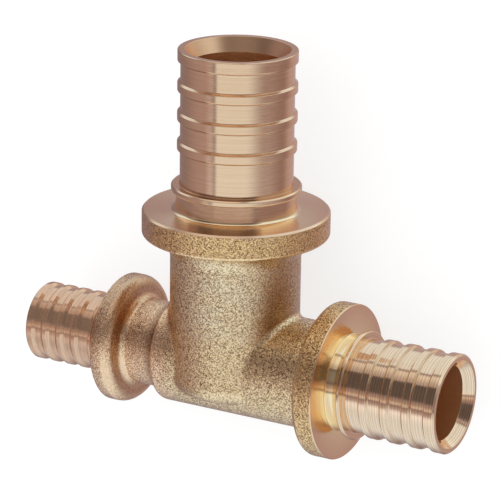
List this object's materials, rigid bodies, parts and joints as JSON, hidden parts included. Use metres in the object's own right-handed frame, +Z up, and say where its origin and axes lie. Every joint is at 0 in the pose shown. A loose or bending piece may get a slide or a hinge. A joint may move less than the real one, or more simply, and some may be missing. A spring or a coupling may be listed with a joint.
{
  "type": "reducing tee",
  "caption": "One-piece brass reducing tee for sliding-sleeve plastic pipe, with ribbed spigots in different sizes, stop collars and flanges.",
  "frame": {"origin": "where the axis of the branch meets the axis of the run", "axes": "+Z up with the tee lying on its flanges; the run lies over X with its larger end to +X, rising 2.9 degrees towards it; the branch points to +Y, rising 8.6 degrees"},
  "size_m": [0.1047, 0.0887, 0.0414],
  "materials": {
    "brass": "shot-blasted forging, with turned spigots, collars and flange faces"
  },
  "bodies": {
    "root": {"tee_body": "brass"}
  },
  "joints": []
}
